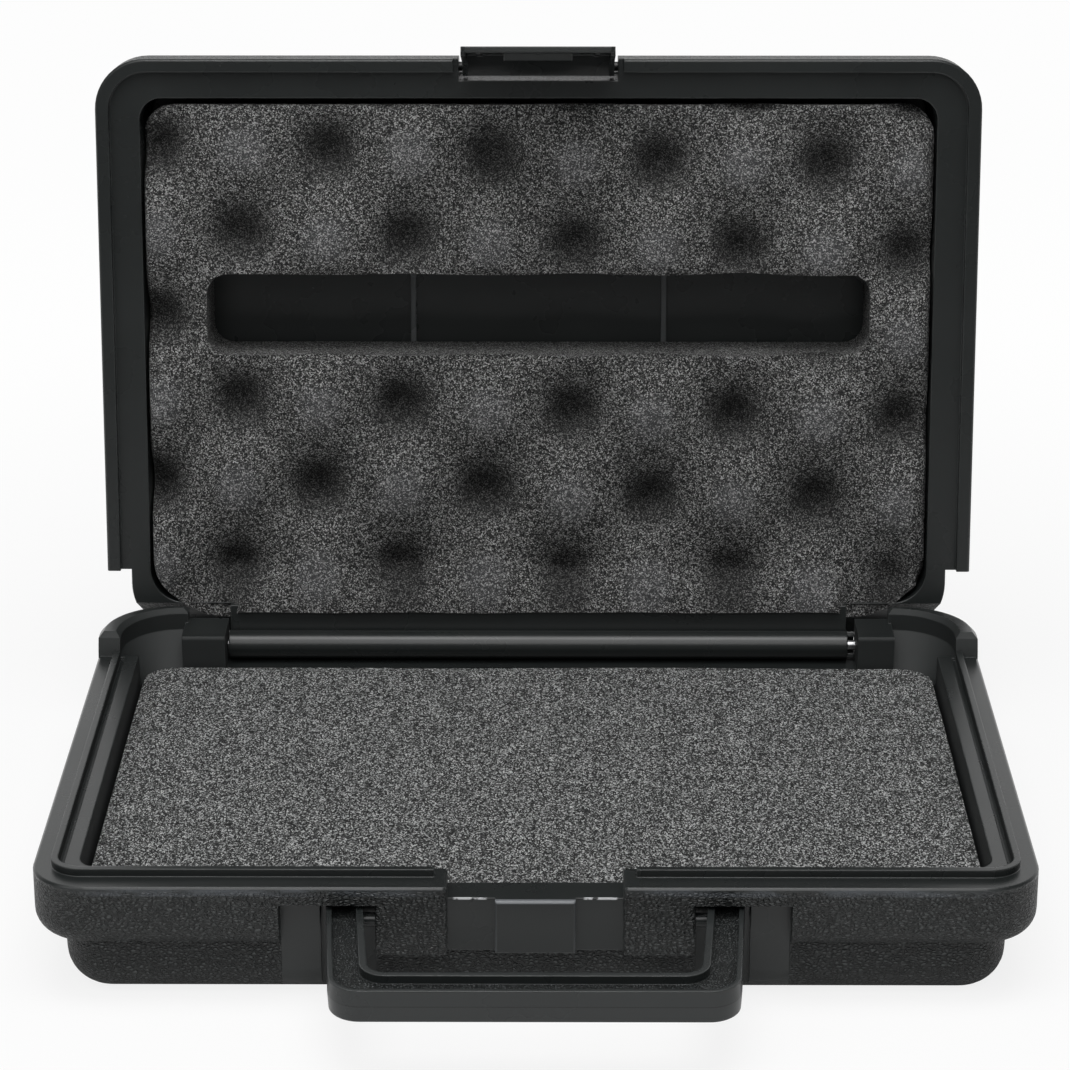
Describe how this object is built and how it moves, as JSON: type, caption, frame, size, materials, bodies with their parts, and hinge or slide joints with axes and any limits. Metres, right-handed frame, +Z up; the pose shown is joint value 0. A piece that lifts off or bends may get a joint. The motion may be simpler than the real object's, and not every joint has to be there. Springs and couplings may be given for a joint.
{
  "type": "instrument case",
  "caption": "Open blow-moulded hinged case with a fold-down handle, flip latch, flat base foam and slotted egg-crate foam in the lid.",
  "frame": {"origin": "centre of the flat underside of the base", "axes": "+X to the right of a person facing the latch, +Y to the back where the lid is hinged, +Z up"},
  "size_m": [0.28, 0.2955, 0.2279],
  "materials": {
    "case_plastic": "satin",
    "handle_plastic": "satin",
    "base_foam": "matte",
    "lid_foam": "matte",
    "pin_steel": "satin"
  },
  "bodies": {
    "base": {"base_shell": "case_plastic", "hinge_pin": "pin_steel", "base_foam": "base_foam"},
    "lid": {"lid_shell": "case_plastic", "lid_foam": "lid_foam"},
    "handle": {"carry_handle": "handle_plastic"},
    "latch": {"latch": "handle_plastic"}
  },
  "joints": [
    {"name": "lid_hinge", "type": "hinge", "parent": "base", "child": "lid", "pos_m": [0, 0.09215, 0.032], "axis": [1, 0, 0], "range_deg": [0, 97.4]},
    {"name": "handle_swing", "type": "hinge", "parent": "base", "child": "handle", "pos_m": [0, -0.09325, 0.0258], "axis": [1, 0, 0], "range_deg": [-16, 86.5]},
    {"name": "latch_flip", "type": "hinge", "parent": "lid", "child": "latch", "pos_m": [0, 0.1331, 0.21374], "axis": [1, 0, 0], "range_deg": [-85, 6.5]}
  ]
}
